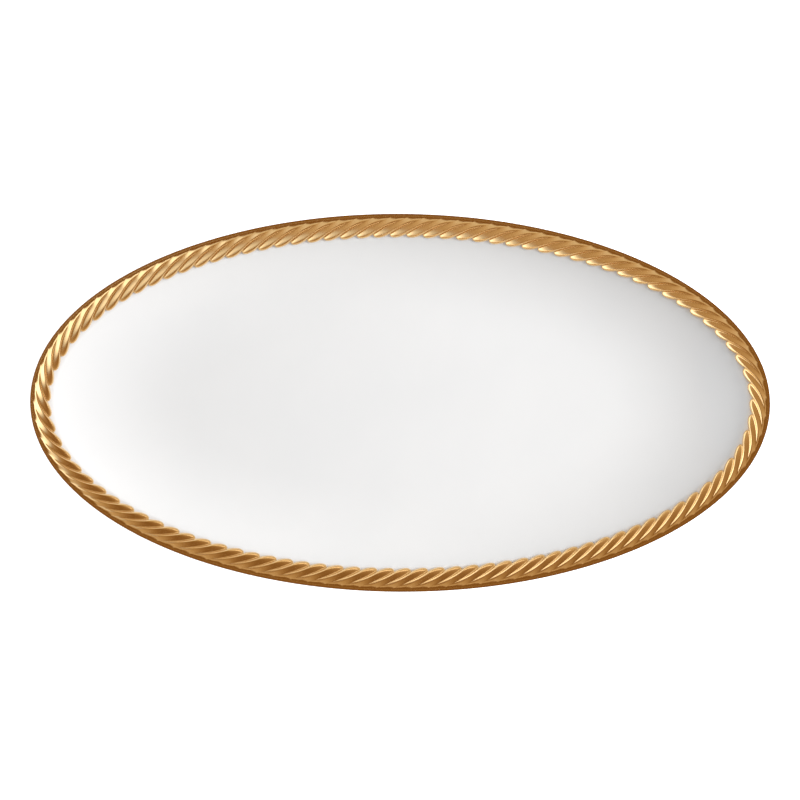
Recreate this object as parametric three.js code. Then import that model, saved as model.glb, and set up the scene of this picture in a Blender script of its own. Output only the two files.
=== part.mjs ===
// An oval china serving platter: a white porcelain well and wall on a foot ring, with a gilded
// border moulded as a twisted rope and a smooth gilded edge outside it.
// Millimetres, +Z up. The origin is on the table, under the centre of the oval. +X is the long way.
import * as THREE from "three";
import { LoftGeometry } from "three/addons/geometries/LoftGeometry.js";

// Driving dimensions
const LENGTH = 546; // over the gilt edge
const WIDTH = 279;
const HEIGHT = 34; // table to the crest of the rope
const SHELL = 5.5; // porcelain under the well
const FOOT_HEIGHT = 5.5;
const WALL_RISE = 17; // floor of the well to the ledge that carries the rope
const GAP = 0.3; // clearance between separate pieces that face each other

// Half-lengths of the ovals: the flat floor of the well, the flat underside, and the foot ring
const FLOOR = { long: 150, short: 60 };
const UNDERSIDE = { long: 180, short: 80 };
const FOOT = { long: 176, short: 76, width: 6.8, bearing: 2.8, bevel: 1.2, taper: 0.6 };

// Insets are measured inwards from the outer edge of the platter, square to it
const GILT_FILM = 0.8;
const GILT_ROUND = 1.9; // depth of the band's rounded nose
const GILT_TOP_INSET = 2.3; // inner end of the band, on the ledge
const GILT_UNDER_INSET = 5.5; // inner end of the band, on the underside
const BODY_INSET = GILT_FILM + GAP;
const BODY_ROUND = 0.9;
const LEDGE_INSET = 17.8; // along the sides
const END_NARROWING = 2.1; // the ledge and its rope are this much narrower at the two ends
const ROPE_OUTER_INSET = GILT_TOP_INSET + GAP;
const ROPE_INNER_INSET = 15.1; // at the notches between the strands
const ROPE_MIDDLE_INSET = 9; // the strands are evenly spaced on this line

// Levels
const FLOOR_Z = FOOT_HEIGHT + SHELL;
const LEDGE_Z = FLOOR_Z + WALL_RISE;
const LEDGE_UNDER_Z = LEDGE_Z - 4.5; // below the inner edge of the ledge
const EDGE_UNDER_Z = LEDGE_Z - 3.2; // below the outer edge

// Curves of the wall: height goes as this power of the way out
const INSIDE_POWER = 2.6;
const OUTSIDE_POWER = 1.6;
const WALL_SHARES = [0.25, 0.5, 0.7, 0.85];

// The rope
const STRANDS = 102; // ends counted round the border
const FIRST_STRAND = 0.8; // place of the first notch, in strands clockwise from +X
const LEAN = 1.85; // strands passed by one strand on its way out, near the inside
const EXTRA_LEAN = 0.4; // added by its bend towards the outside
const LEAN_POWER = 2.3;
const LOBE = 2.7; // how far each strand's rounded end stands into the well
const LOBE_SKEW = 0.6; // brings the fullest part of that end forward, next to the notch
const GROOVE = 2; // depth between two strands near the inside
const GROOVE_FADE = 0.88; // share of that depth lost on the way out
const RIDGE = 0.56; // place of the ridge across a strand
const ARCH_POWER = 0.7;
const ROPE_SHARES = [0.94, 0.82, 0.66, 0.5, 0.34, 0.2, 0.08]; // from its outer foot to its inner foot
const ACROSS = [0, 0.28, 0.56, 0.8]; // columns of points across a strand

// Fineness
const OVAL_COLUMNS = 96;

// A point inset from an ellipse, square to it.
function insetPoint(onEllipse, long, short, inset, z) {
  const outward = new THREE.Vector2(onEllipse.x / long ** 2, onEllipse.y / short ** 2).normalize();
  return new THREE.Vector3(onEllipse.x - outward.x * inset, onEllipse.y - outward.y * inset, z);
}

// A level hoop of points round an oval of the given half-lengths, counter-clockwise from +X. It is
// inset less at the two ends, by the narrowing.
function hoop(long, short, inset, z, narrowing = 0) {
  return new THREE.EllipseCurve(0, 0, long, short)
    .getPoints(OVAL_COLUMNS)
    .slice(0, OVAL_COLUMNS)
    .map((point) => insetPoint(point, long, short, inset - narrowing * (point.x / long) ** 2, z));
}

const rimHoop = (inset, z, narrowing) => hoop(LENGTH / 2, WIDTH / 2, inset, z, narrowing);

// The hoop that lies a share of the way from one hoop to another, at height z.
function between(inner, outer, share, z) {
  return inner.map((point, i) => point.clone().lerp(outer[i], share).setZ(z));
}

// The rounded outer edge of a rim, from its underside up to its top.
function noseHoops(inset, round, underZ, topZ) {
  const middle = (topZ + underZ) / 2;
  const half = (topZ - underZ) / 2;
  return [-0.5, -0.25, 0, 0.25, 0.5].map((turn) => {
    const angle = Math.PI * turn;
    return rimHoop(inset + round * (1 - Math.cos(angle)), middle + half * Math.sin(angle));
  });
}

// Each skin runs over its hoops outwards along the underside, up, and back inwards along the top.
// A dish's skin starts and ends at its middle.
function dish(hoops) {
  const middle = (edge) => edge.map((point) => new THREE.Vector3(0, 0, point.z));
  return new LoftGeometry([middle(hoops.at(0)), ...hoops, middle(hoops.at(-1))]);
}

function ring(hoops) {
  return new LoftGeometry([...hoops, hoops[0]]);
}

// The well, its wall and the level ledge under the rope, in one shell.
function porcelainBody() {
  const floor = hoop(FLOOR.long, FLOOR.short, 0, FLOOR_Z);
  const flat = hoop(UNDERSIDE.long, UNDERSIDE.short, 0, FOOT_HEIGHT);
  const ledge = rimHoop(LEDGE_INSET, LEDGE_Z, END_NARROWING);
  const underLedge = rimHoop(LEDGE_INSET, LEDGE_UNDER_Z, END_NARROWING);
  const outside = WALL_SHARES.map((share) => {
    const rise = (LEDGE_UNDER_Z - FOOT_HEIGHT) * share ** OUTSIDE_POWER;
    return between(flat, underLedge, share, FOOT_HEIGHT + rise);
  });
  const inside = WALL_SHARES.map((share) => {
    return between(floor, ledge, share, FLOOR_Z + WALL_RISE * share ** INSIDE_POWER);
  });
  return dish([
    flat,
    ...outside,
    underLedge,
    rimHoop(GILT_UNDER_INSET, EDGE_UNDER_Z),
    ...noseHoops(BODY_INSET, BODY_ROUND, EDGE_UNDER_Z, LEDGE_Z),
    ledge,
    ...inside.reverse(),
    floor,
  ]);
}

// The raised ring the platter stands on. Its lowest face is level.
function footRing() {
  const footHoop = (inset, z) => hoop(FOOT.long, FOOT.short, inset, z);
  const bearingInset = (FOOT.width - FOOT.bearing) / 2;
  return ring([
    footHoop(FOOT.width - bearingInset, 0),
    footHoop(bearingInset, 0),
    footHoop(FOOT.taper, FOOT.bevel),
    footHoop(0, FOOT_HEIGHT),
    footHoop(FOOT.width, FOOT_HEIGHT),
    footHoop(FOOT.width - FOOT.taper, FOOT.bevel),
  ]);
}

// The smooth band round the outside of the rim: over the edge, and a little way underneath.
function giltEdgeBand() {
  const backZ = EDGE_UNDER_Z - GAP;
  const underZ = backZ - GILT_FILM / 2;
  const topZ = LEDGE_Z + GILT_FILM;
  const backRound = BODY_INSET + BODY_ROUND - GILT_FILM;
  return ring([
    rimHoop(GILT_UNDER_INSET, underZ),
    ...noseHoops(0, GILT_ROUND, underZ, topZ),
    rimHoop(GILT_TOP_INSET, topZ),
    rimHoop(GILT_TOP_INSET, LEDGE_Z),
    ...noseHoops(GILT_FILM, backRound, backZ, LEDGE_Z).reverse(),
    rimHoop(GILT_UNDER_INSET, backZ),
  ]);
}

// The line inside the outline on which the strands are evenly spaced, clockwise from +X.
class RopeMiddle extends THREE.Curve {
  getPoint(share) {
    const turn = -2 * Math.PI * share;
    const onOutline = new THREE.Vector2((LENGTH / 2) * Math.cos(turn), (WIDTH / 2) * Math.sin(turn));
    return insetPoint(onOutline, LENGTH / 2, WIDTH / 2, ROPE_MIDDLE_INSET, 0);
  }
}

const ropeMiddle = new RopeMiddle();
ropeMiddle.arcLengthDivisions = 4000;

// Height of a strand across its width, from 0 in the grooves to 1 on the ridge.
function strandHeight(across) {
  return across < RIDGE ? across / RIDGE : (1 - across) / (1 - RIDGE);
}

// The moulded rope, as one ring of leaning strands on the ledge. Each column of points follows a
// strand: it leaves the notched inside and leans over clockwise on its way out.
function ropeRim() {
  const rise = HEIGHT - LEDGE_Z;
  const columns = Array.from({ length: STRANDS }, (_, strand) => {
    return ACROSS.map((across) => ({ strand, across }));
  }).flat();

  // The hoop a share of the way over the rope, from its inner foot to its outer foot.
  const ropeHoop = (share, arch) => {
    const out = (1 - Math.cos(Math.PI * share)) / 2;
    const lean = LEAN * out + EXTRA_LEAN * out ** LEAN_POWER;
    const depth = GROOVE * (1 - GROOVE_FADE * out);
    return columns.map(({ strand, across }) => {
      const place = (FIRST_STRAND + strand + across + lean) / STRANDS;
      const turn = -2 * Math.PI * ropeMiddle.getUtoTmapping(THREE.MathUtils.euclideanModulo(place, 1));
      const onOutline = new THREE.Vector2((LENGTH / 2) * Math.cos(turn), (WIDTH / 2) * Math.sin(turn));
      const lobe = LOBE * Math.sin(Math.PI * across ** LOBE_SKEW);
      const innerInset = ROPE_INNER_INSET - END_NARROWING * Math.cos(turn) ** 2 + lobe;
      const inset = THREE.MathUtils.lerp(innerInset, ROPE_OUTER_INSET, out);
      const height = rise * arch ** ARCH_POWER - depth * (1 - strandHeight(across)) * arch;
      return insetPoint(onOutline, LENGTH / 2, WIDTH / 2, inset, LEDGE_Z + height);
    });
  };

  // Clockwise columns are reversed, so that the skin faces outwards
  const overRope = ROPE_SHARES.map((share) => ropeHoop(share, Math.sin(Math.PI * share)));
  return ring([ropeHoop(0, 0), ropeHoop(1, 0), ...overRope].map((points) => points.reverse()));
}

function glazedPorcelain() {
  return new THREE.MeshStandardMaterial({ color: "#f4f4f2", roughness: 0.12, metalness: 0 });
}

function unglazedPorcelain() {
  return new THREE.MeshStandardMaterial({ color: "#e9e6df", roughness: 0.75, metalness: 0 });
}

function satinGold() {
  return new THREE.MeshStandardMaterial({ color: "#d9a05a", roughness: 0.28, metalness: 1 });
}

function piece(name, geometry, material) {
  const mesh = new THREE.Mesh(geometry, material);
  mesh.name = name;
  return mesh;
}

const platter = new THREE.Group();
platter.add(
  piece("porcelain_body", porcelainBody(), glazedPorcelain()),
  piece("foot_ring", footRing(), unglazedPorcelain()),
  piece("rope_rim", ropeRim(), satinGold()),
  piece("gilt_edge_band", giltEdgeBand(), satinGold()),
);

export default platter;
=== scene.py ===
"""An oval porcelain serving platter with a gilded rope border, seen from straight above.

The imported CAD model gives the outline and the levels, and the insets below agree with its design.
Every piece here is a fine mesh that stands for the CAD node of the same part, with a procedural
material. Metres, +Z up, +X the long way.
"""

import math

import bpy
import numpy as np
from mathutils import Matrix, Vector


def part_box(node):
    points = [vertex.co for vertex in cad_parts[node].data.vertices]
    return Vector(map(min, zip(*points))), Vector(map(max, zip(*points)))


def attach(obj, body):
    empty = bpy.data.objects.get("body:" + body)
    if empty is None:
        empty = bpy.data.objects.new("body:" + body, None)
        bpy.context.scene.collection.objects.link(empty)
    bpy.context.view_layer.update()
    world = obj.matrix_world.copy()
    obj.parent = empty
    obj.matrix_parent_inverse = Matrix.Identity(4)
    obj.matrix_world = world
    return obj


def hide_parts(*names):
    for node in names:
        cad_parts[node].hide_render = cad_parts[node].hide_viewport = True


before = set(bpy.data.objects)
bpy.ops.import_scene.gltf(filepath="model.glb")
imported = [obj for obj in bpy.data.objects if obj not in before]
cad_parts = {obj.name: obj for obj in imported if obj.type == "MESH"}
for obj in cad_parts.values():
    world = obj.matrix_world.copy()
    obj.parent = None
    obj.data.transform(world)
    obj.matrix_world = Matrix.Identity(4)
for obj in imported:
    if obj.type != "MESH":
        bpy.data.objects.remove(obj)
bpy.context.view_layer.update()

MM = 0.001

# Places from the CAD model
edge_low, edge_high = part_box("gilt_edge_band")
body_low, body_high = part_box("porcelain_body")
rope_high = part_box("rope_rim")[1]
foot_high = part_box("foot_ring")[1]

LONG = edge_high.x
SHORT = edge_high.y
LEDGE = body_high.z
CREST = rope_high.z
EDGE_TOP = edge_high.z
EDGE_BOTTOM = edge_low.z
UNDERSIDE = body_low.z
SHELL = 5.5 * MM  # porcelain under the well
FLOOR = UNDERSIDE + SHELL
UNDER_LEDGE = LEDGE - 4.5 * MM  # below the inner edge of the ledge
UNDER_EDGE = LEDGE - 3.2 * MM  # below the outer edge

# Half-lengths of the level floor and of the flat underside
FLOOR_OVAL = (150 * MM, 60 * MM)
UNDERSIDE_OVAL = (180 * MM, 80 * MM)

# The wall's height goes as this power of the way out
INSIDE_POWER = 2.6
OUTSIDE_POWER = 1.6

# Insets from the outer edge, square to it
LEDGE_INSET = 17.8 * MM  # along the sides
END_NARROWING = 2.1 * MM  # the ledge and its rope are this much narrower at the two ends
ROPE_INNER = 15.1 * MM  # at the notches between the strands' ends
ROPE_OUTER = 2.0 * MM
ROPE_MIDDLE = 9.0 * MM  # the strands are evenly spaced on this line
BODY_INSET = 1.1 * MM  # outer edge of the porcelain, behind the gilding
BODY_ROUND = 0.9 * MM
GILT_INNER = 2.3 * MM  # inner end of the gilt edge, on the ledge
GILT_UNDER = 5.5 * MM  # and on the underside
GILT_BACK = 0.8 * MM  # the gilt edge's own back, facing the porcelain
GILT_BACK_ROUND = 1.2 * MM

# The rope
STRANDS = 102
FIRST_STRAND = 0.8  # place of the first notch before the drift, in strands clockwise from +X
DRIFT = 0.17  # strands that the spacing gains and loses on its way round
LEAN = 1.85  # strands passed by one strand on its way out
EXTRA_LEAN = 0.4  # added by its bend towards the outside
LEAN_POWER = 2.3
LOBE = 2.7 * MM  # how far each strand's rounded end stands into the well
LOBE_SKEW = 0.6  # brings the fullest part of that end forward, next to the notch
LOBE_ROUND = 0.7
GROOVE = 2.0 * MM  # depth between two strands near the inside
GROOVE_FADE = 0.88  # share of that depth lost on the way out
RIDGE = 0.56  # place of the ridge across a strand
BEFORE_RIDGE_POWER = 1.2
AFTER_RIDGE_POWER = 1.35
INNER_ARCH_POWER = 0.7
OUTER_ARCH_POWER = 1.1
ROPE_FOOT = 0.015 * math.pi  # where the strands leave the ledge, as an angle of the arch
BASE_ROWS = 9
ARCH_ROWS = 44

# Columns of points across a strand, closest in the groove and on the ridge
ACROSS = (0, .02, .05, .1, .17, .25, .34, .41, .47, .52, .56, .61, .67, .74, .82, .9, .95, .98)


# ---------------------------------------------------------------- ovals and skins

def inset_points(turn, long, short, inset, z):
    """Points inset from an oval, square to it. turn is the oval's own angle, anticlockwise."""
    normal = np.stack([np.cos(turn) / long, np.sin(turn) / short])
    normal /= np.hypot(*normal)
    x = long * np.cos(turn) - normal[0] * inset
    y = short * np.sin(turn) - normal[1] * inset
    return np.stack([x, y, np.broadcast_to(z, x.shape)], -1)


def hoop(long, short, inset, z, narrowing=0, columns=480):
    """A level hoop round an oval, anticlockwise from +X, inset less at its two ends by the narrowing."""
    turn = np.arange(columns) * 2 * math.pi / columns
    return inset_points(turn, long, short, inset - narrowing * np.cos(turn) ** 2, z)


def rim_hoop(inset, z, narrowing=0):
    return hoop(LONG, SHORT, inset, z, narrowing)


def between(inner, outer, share, z):
    """The hoop that lies a share of the way from one hoop to another, at height z."""
    points = inner * (1 - share) + outer * share
    points[:, 2] = z
    return points


def skin(name, hoops, closed):
    """A mesh over a run of hoops. A closed run joins its last hoop to its first, and each end of an
    open one is filled in to its middle.
    """
    rows = np.array(hoops)
    count, columns = rows.shape[:2]
    points = rows.reshape(-1, 3)
    row = np.arange(count if closed else count - 1)[:, None]
    column = np.arange(columns)[None, :]
    after = (column + 1) % columns
    above = (row + 1) % count
    quads = np.stack([row * columns + column, row * columns + after,
                      above * columns + after, above * columns + column], -1).reshape(-1, 4)
    faces = quads.tolist()
    if not closed:
        low = len(points)
        points = np.vstack([points, rows[0].mean(0), rows[-1].mean(0)])
        last = (count - 1) * columns
        for i in range(columns):
            j = (i + 1) % columns
            faces.append((low, j, i))
            faces.append((low + 1, last + i, last + j))
    mesh = bpy.data.meshes.new(name)
    mesh.from_pydata(points.tolist(), [], faces)
    mesh.validate()
    mesh.shade_smooth()
    piece = bpy.data.objects.new(name, mesh)
    bpy.context.scene.collection.objects.link(piece)
    return piece


# ---------------------------------------------------------------- porcelain

def wall_hoops(inner, outer, low, high, power, steps):
    """Hoops over a wall that leaves its level oval smoothly and steepens on its way out."""
    shares = np.linspace(0, 1, steps + 1)[1:-1]
    return [between(inner, outer, s, low + (high - low) * s ** power) for s in shares]


def nose_hoops(inset, depth, low, high, steps=10):
    """The rounded outer edge of a rim, from its underside up to its top."""
    middle, half = (low + high) / 2, (high - low) / 2
    angles = np.linspace(-math.pi / 2, math.pi / 2, steps + 1)
    return [rim_hoop(inset + depth * (1 - math.cos(a)), middle + half * math.sin(a)) for a in angles]


def porcelain_body():
    floor = hoop(*FLOOR_OVAL, 0, FLOOR)
    flat = hoop(*UNDERSIDE_OVAL, 0, UNDERSIDE)
    ledge = rim_hoop(LEDGE_INSET, LEDGE, END_NARROWING)
    under_ledge = rim_hoop(LEDGE_INSET, UNDER_LEDGE, END_NARROWING)
    outside = wall_hoops(flat, under_ledge, UNDERSIDE, UNDER_LEDGE, OUTSIDE_POWER, steps=24)
    inside = wall_hoops(floor, ledge, FLOOR, LEDGE, INSIDE_POWER, steps=48)
    middle = np.zeros_like(floor)
    inner_floor = [between(middle, floor, s, FLOOR) for s in (0.75, 0.5, 0.25)]
    inner_flat = [between(middle, flat, s, UNDERSIDE) for s in (0.25, 0.5, 0.75)]
    return skin("glazed_body", [
        *inner_flat,
        flat,
        *outside,
        under_ledge,
        rim_hoop(GILT_UNDER, UNDER_EDGE),
        *nose_hoops(BODY_INSET, BODY_ROUND, UNDER_EDGE, LEDGE),
        ledge,
        *inside[::-1],
        floor,
        *inner_floor,
    ], closed=False)


def foot_ring():
    """The raised ring the platter stands on. Its lowest face is level, between two rounded edges."""
    long, short = foot_high.x, foot_high.y
    width, bearing, bevel = 6.8 * MM, 2.8 * MM, 1.2 * MM
    side = (width - bearing) / 2
    angles = np.linspace(0, math.pi / 2, 7)
    outer = [(side - side * math.sin(a), bevel - bevel * math.cos(a)) for a in angles]
    inner = [(width - inset, z) for inset, z in outer[::-1]]
    section = [*outer, (0, UNDERSIDE), (width, UNDERSIDE), *inner]
    return skin("unglazed_foot_ring", [hoop(long, short, i, z) for i, z in section], closed=True)


# ---------------------------------------------------------------- gilding

def gilt_edge():
    """The gilded skin of the rim's edge: a steep shoulder above a rounded lip, turned in below."""
    thickness = 0.4 * MM  # underneath
    lip = 1.3 * MM
    shoulder_power = 0.65
    back = EDGE_BOTTOM + thickness
    lip_top = EDGE_BOTTOM + lip
    drop = EDGE_TOP - lip_top
    angles = np.linspace(-math.pi / 2, 0, 7)
    round_lip = [rim_hoop(lip - lip * math.cos(a), lip_top + lip * math.sin(a)) for a in angles]
    shares = np.linspace(0.08, 1, 10)
    shoulder = [rim_hoop(GILT_INNER * s, lip_top + drop * s ** shoulder_power) for s in shares]
    return skin("gilt_edge", [
        rim_hoop(GILT_UNDER, EDGE_BOTTOM + thickness / 2),
        *round_lip,
        *shoulder,
        rim_hoop(GILT_INNER, LEDGE),
        *nose_hoops(GILT_BACK, GILT_BACK_ROUND, back, LEDGE)[::-1],
        rim_hoop(GILT_UNDER, back),
    ], closed=True)


def rope_line(samples=8000):
    """Share of the way round the rope's middle line against the oval's own angle."""
    turn = np.linspace(0, 2 * math.pi, samples + 1)
    line = inset_points(turn, LONG, SHORT, ROPE_MIDDLE, 0)
    length = np.r_[0, np.cumsum(np.linalg.norm(np.diff(line, axis=0), axis=1))]
    return length / length[-1], turn


def lean(out):
    """Strands passed by one strand, at a share of its way out."""
    return LEAN * out + EXTRA_LEAN * out ** LEAN_POWER


def strand_profile(across):
    """Height across a strand: 0 in the grooves, 1 on the ridge, and rounder after it than before."""
    before = np.clip((RIDGE - across) / RIDGE, 0, 1) ** BEFORE_RIDGE_POWER
    after = np.clip((across - RIDGE) / (1 - RIDGE), 0, 1) ** AFTER_RIDGE_POWER
    return 1 - before - after


def rope():
    """The rope as one skin. Each column of points follows a strand, out along its foot and back over
    its top.
    """
    share, turns = rope_line()
    across = np.tile(ACROSS, STRANDS)
    strand = np.repeat(np.arange(STRANDS), len(ACROSS))
    lobe = LOBE * np.sin(math.pi * across ** LOBE_SKEW) ** LOBE_ROUND
    start = FIRST_STRAND - DRIFT * np.cos(2 * math.pi * (strand + across) / STRANDS)

    def row(angle, raised=True):
        out = (1 - math.cos(angle)) / 2
        clockwise = (strand + across + lean(out) + start) / STRANDS
        turn = np.interp(np.mod(-clockwise, 1), share, turns)
        inner = ROPE_INNER - END_NARROWING * np.cos(turn) ** 2 + lobe
        inset = inner + (ROPE_OUTER - inner) * out
        arch = math.sin(angle) ** (INNER_ARCH_POWER + (OUTER_ARCH_POWER - INNER_ARCH_POWER) * out)
        relief = GROOVE * (1 - strand_profile(across)) * (1 - GROOVE_FADE * out)
        height = arch * (CREST - LEDGE - relief) if raised else 0 * across
        return inset_points(turn, LONG, SHORT, inset, LEDGE + height)

    over = [row(a) for a in np.linspace(math.pi - ROPE_FOOT, ROPE_FOOT, ARCH_ROWS)]
    base = [row(a, raised=False) for a in np.linspace(0, math.pi, BASE_ROWS)]
    # Columns run clockwise, so the rows are turned round to face outwards
    hoops = [points[::-1] for points in [*base, *over]]
    return skin("gilded_rope", hoops, closed=True)


# ---------------------------------------------------------------- materials

def new_material(name):
    material = bpy.data.materials.new(name)
    material.use_nodes = True
    tree = material.node_tree
    return material, tree, tree.nodes["Principled BSDF"]


def noise(tree, scale, detail=3.0, roughness=0.5):
    place = tree.nodes.new("ShaderNodeTexCoord")
    node = tree.nodes.new("ShaderNodeTexNoise")
    node.inputs["Scale"].default_value = scale
    node.inputs["Detail"].default_value = detail
    node.inputs["Roughness"].default_value = roughness
    tree.links.new(place.outputs["Object"], node.inputs["Vector"])
    return node.outputs["Fac"]


def ramp(tree, factor, stops):
    node = tree.nodes.new("ShaderNodeValToRGB")
    elements = node.color_ramp.elements
    while len(elements) < len(stops):
        elements.new(0.5)
    for element, (position, colour) in zip(elements, stops):
        element.position = position
        element.color = (*colour, 1)
    tree.links.new(factor, node.inputs["Fac"])
    return node.outputs["Color"]


def spread(tree, value, low, high, from_low=0.0, from_high=1.0):
    """Maps a value between two numbers, 0 and 1 unless given, onto the range from low to high."""
    node = tree.nodes.new("ShaderNodeMapRange")
    node.inputs["From Min"].default_value = from_low
    node.inputs["From Max"].default_value = from_high
    node.inputs["To Min"].default_value = low
    node.inputs["To Max"].default_value = high
    tree.links.new(value, node.inputs["Value"])
    return node.outputs["Result"]


def bump(tree, height, distance, normal=None):
    node = tree.nodes.new("ShaderNodeBump")
    node.inputs["Strength"].default_value = 1.0
    node.inputs["Distance"].default_value = distance
    tree.links.new(height, node.inputs["Height"])
    if normal:
        tree.links.new(normal, node.inputs["Normal"])
    return node.outputs["Normal"]


def glazed_porcelain():
    """White glaze: faint clouds of colour and of gloss, a slow ripple and a fine orange peel."""
    material, tree, shader = new_material("glazed_porcelain")
    clouds = [(0.3, (0.885, 0.888, 0.89)), (0.7, (0.905, 0.906, 0.906))]
    tree.links.new(ramp(tree, noise(tree, 18), clouds), shader.inputs["Base Color"])
    tree.links.new(spread(tree, noise(tree, 60), 0.07, 0.15), shader.inputs["Roughness"])
    ripple = bump(tree, noise(tree, 45, detail=2.0), 0.05 * MM)
    peel = bump(tree, noise(tree, 700, detail=2.0), 0.004 * MM, normal=ripple)
    tree.links.new(peel, shader.inputs["Normal"])
    shader.inputs["IOR"].default_value = 1.5
    return material


def unglazed_porcelain():
    """Bare fired clay: matt and gritty, with darker and warmer patches all over."""
    material, tree, shader = new_material("unglazed_porcelain")
    patches = [(0.3, (0.70, 0.67, 0.62)), (0.65, (0.84, 0.82, 0.78))]
    tree.links.new(ramp(tree, noise(tree, 120, detail=6.0, roughness=0.6), patches),
                   shader.inputs["Base Color"])
    tree.links.new(spread(tree, noise(tree, 900), 0.65, 0.9), shader.inputs["Roughness"])
    tree.links.new(bump(tree, noise(tree, 2500, detail=4.0), 0.03 * MM), shader.inputs["Normal"])
    return material


def satin_gold():
    """Fired gilding: slightly uneven in colour and in gloss, over a nearly smooth ground."""
    material, tree, shader = new_material("satin_gold")
    patches = [(0.3, (0.91, 0.62, 0.29)), (0.7, (0.95, 0.66, 0.33))]
    tree.links.new(ramp(tree, noise(tree, 140, detail=5.0, roughness=0.6), patches),
                   shader.inputs["Base Color"])
    tree.links.new(spread(tree, noise(tree, 420, detail=4.0), 0.16, 0.26), shader.inputs["Roughness"])
    tree.links.new(bump(tree, noise(tree, 1500), 0.002 * MM), shader.inputs["Normal"])
    shader.inputs["Metallic"].default_value = 1
    return material


# ---------------------------------------------------------------- stage

def floor_material():
    """White paper that glows, so that it stays white but still takes a contact shadow."""
    material, tree, shader = new_material("white_floor")
    shader.inputs["Base Color"].default_value = (0.8, 0.8, 0.8, 1)
    shader.inputs["Roughness"].default_value = 0.9
    shader.inputs["Specular IOR Level"].default_value = 0
    shader.inputs["Emission Color"].default_value = (1, 1, 1, 1)
    shader.inputs["Emission Strength"].default_value = 0.8
    return material


def stage_floor():
    mesh = bpy.data.meshes.new("floor")
    half = 12.0  # of its width
    corners = [(-half, -half, 0), (half, -half, 0), (half, half, 0), (-half, half, 0)]
    mesh.from_pydata(corners, [], [(0, 1, 2, 3)])
    floor = bpy.data.objects.new("floor", mesh)
    bpy.context.scene.collection.objects.link(floor)
    mesh.materials.append(floor_material())
    floor.visible_glossy = False


def soft_lamp(name, size, energy, location):
    """A round soft lamp that faces the origin and shapes the porcelain. The gilding ignores it."""
    lamp = bpy.data.lights.new(name, "AREA")
    lamp.shape = "DISK"
    lamp.size = size
    lamp.energy = energy
    holder = bpy.data.objects.new(name, lamp)
    holder.location = location
    holder.rotation_euler = location.to_track_quat("Z", "Y").to_euler()
    holder.visible_glossy = False
    bpy.context.scene.collection.objects.link(holder)


def soft_box(pieces):
    """A soft box low over the well. Only the gilding mirrors it."""
    lamp = bpy.data.lights.new("soft_box", "AREA")
    lamp.shape = "ELLIPSE"
    lamp.size = 0.30
    lamp.size_y = 0.08
    lamp.color = (1.0, 0.98, 0.97)
    radiance = 0.9
    area = math.pi / 4 * lamp.size * lamp.size_y
    lamp.energy = radiance * math.pi * area
    box = bpy.data.objects.new("soft_box", lamp)
    box.location = (0.06, 0, LEDGE + 0.16)
    bpy.context.scene.collection.objects.link(box)
    mirrors = bpy.data.collections.new("gilding")
    for piece in pieces:
        mirrors.objects.link(piece)
    box.light_linking.receiver_collection = mirrors


def glow_towards(tree, direction, stops):
    """Colours that depend on how near a ray's direction is to the one given: 1 is along it."""
    place = tree.nodes.new("ShaderNodeTexCoord")
    node = tree.nodes.new("ShaderNodeVectorMath")
    node.operation = "DOT_PRODUCT"
    node.inputs[1].default_value = direction.normalized()
    tree.links.new(place.outputs["Generated"], node.inputs[0])
    return ramp(tree, node.outputs["Value"], stops)


def brighter(tree, first, second):
    """The brighter of two colours, channel by channel."""
    node = tree.nodes.new("ShaderNodeMix")
    node.data_type = "RGBA"
    node.blend_type = "LIGHTEN"
    node.inputs["Factor"].default_value = 1
    tree.links.new(first, node.inputs["A"])
    tree.links.new(second, node.inputs["B"])
    return node.outputs["Result"]


def surroundings(tree):
    """What is mirrored: a bright wall at -X, a low strip beside it, a warm sky and a brown ground."""
    wall = glow_towards(tree, Vector((-0.88, -0.05, 0.50)), [
        (0.73, (0.0, 0.0, 0.0)),
        (0.87, (1.1, 1.1, 1.1)),
        (0.96, (1.9, 2.0, 2.2)),
    ])
    strip = glow_towards(tree, Vector((-0.80, 0.58, 0.12)), [
        (0.77, (0.0, 0.0, 0.0)),
        (0.89, (1.6, 1.65, 1.7)),
    ])
    sky = glow_towards(tree, Vector((0.14, -0.30, 0.94)), [
        (0.0, (0.70, 0.62, 0.52)),
        (0.40, (0.58, 0.44, 0.29)),
        (0.75, (0.46, 0.32, 0.18)),
        (0.92, (0.34, 0.205, 0.09)),
        (1.0, (0.23, 0.12, 0.04)),
    ])
    above = brighter(tree, brighter(tree, wall, strip), sky)
    place = tree.nodes.new("ShaderNodeTexCoord")
    split = tree.nodes.new("ShaderNodeSeparateXYZ")
    tree.links.new(place.outputs["Generated"], split.inputs[0])
    horizon = spread(tree, split.outputs["Z"], 0, 1, from_low=-0.06, from_high=0.02)
    whole = tree.nodes.new("ShaderNodeMix")
    whole.data_type = "RGBA"
    whole.inputs["A"].default_value = (0.23, 0.115, 0.03, 1)
    tree.links.new(above, whole.inputs["B"])
    tree.links.new(horizon, whole.inputs["Factor"])
    return whole.outputs["Result"]


def background(tree, strength):
    node = tree.nodes.new("ShaderNodeBackground")
    node.inputs["Color"].default_value = (1, 1, 1, 1)
    node.inputs["Strength"].default_value = strength
    return node


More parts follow.
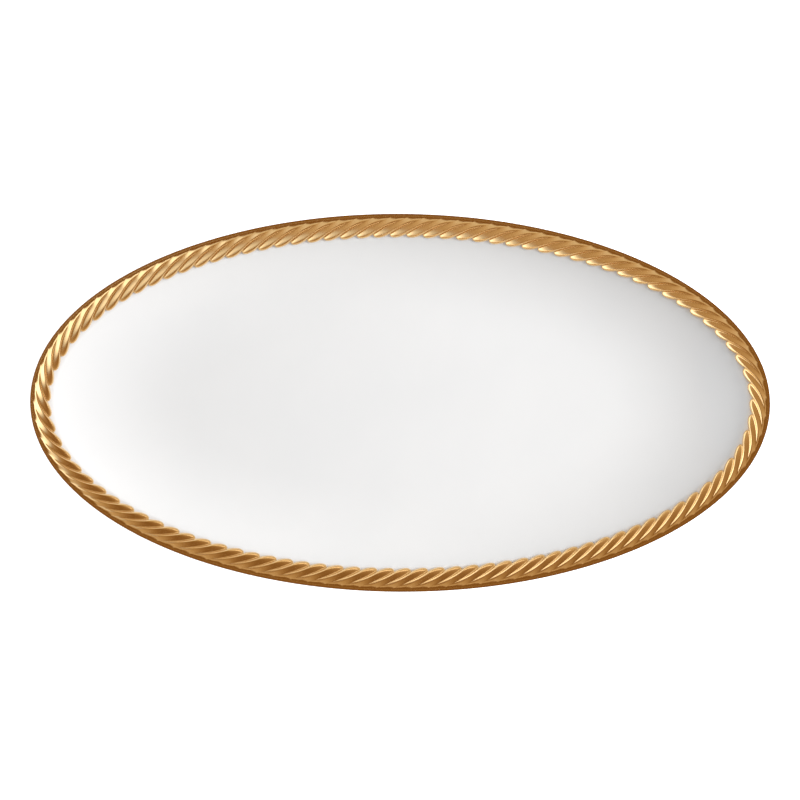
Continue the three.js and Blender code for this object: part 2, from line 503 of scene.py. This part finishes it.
def choose(tree, rays, otherwise, chosen):
    """One light for the rays of a kind, and another for all the rest."""
    path = tree.nodes.new("ShaderNodeLightPath")
    node = tree.nodes.new("ShaderNodeMixShader")
    tree.links.new(path.outputs[rays], node.inputs["Fac"])
    tree.links.new(otherwise.outputs[0], node.inputs[1])
    tree.links.new(chosen.outputs[0], node.inputs[2])
    return node


def studio_world():
    """White to the camera, even light on matt surfaces, and its own surroundings for what shines."""
    world = bpy.data.worlds.new("studio")
    world.use_nodes = True
    bpy.context.scene.world = world
    tree = world.node_tree
    tree.nodes.clear()
    mirrored = background(tree, 1.0)
    tree.links.new(surroundings(tree), mirrored.inputs["Color"])
    even_light = background(tree, 0.29)
    lights = choose(tree, "Is Glossy Ray", even_light, mirrored)
    white = background(tree, 1.0)
    seen = choose(tree, "Is Camera Ray", lights, white)
    output = tree.nodes.new("ShaderNodeOutputWorld")
    tree.links.new(seen.outputs[0], output.inputs["Surface"])
    world.cycles.sampling_method = "NONE"


def overhead_camera():
    """Straight above, far off, a touch turned and moved so that the platter sits as it was seen."""
    camera = bpy.data.cameras.new("camera")
    camera.lens = 135
    camera.sensor_width = 36
    holder = bpy.data.objects.new("camera", camera)
    bpy.context.scene.collection.objects.link(holder)
    span = 2 * LONG / 0.9262  # the platter's share of the picture's width
    distance = span * camera.lens / camera.sensor_width
    holder.location = (-0.1 * MM, 2.07 * MM, LEDGE + distance)
    holder.rotation_euler = (0, 0, math.radians(0.3))
    bpy.context.scene.camera = holder


def finish_piece(piece, material, node):
    piece.data.materials.append(material)
    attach(piece, "root")
    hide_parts(node)


overhead_camera()
stage_floor()
soft_lamp("key", size=2.4, energy=168, location=Vector((0.895, 0.10, 0.42)) * 4)
soft_lamp("near_fill", size=0.4, energy=1.0, location=Vector((-0.05, -0.45, 0.55)))
soft_lamp("far_fill", size=0.4, energy=1.0, location=Vector((0.16, 0.45, 0.5)))
studio_world()

gold = satin_gold()
finish_piece(porcelain_body(), glazed_porcelain(), "porcelain_body")
finish_piece(foot_ring(), unglazed_porcelain(), "foot_ring")
edge = gilt_edge()
twist = rope()
finish_piece(edge, gold, "gilt_edge_band")
finish_piece(twist, gold, "rope_rim")
soft_box([edge, twist])

bpy.context.scene.view_settings.view_transform = "Standard"
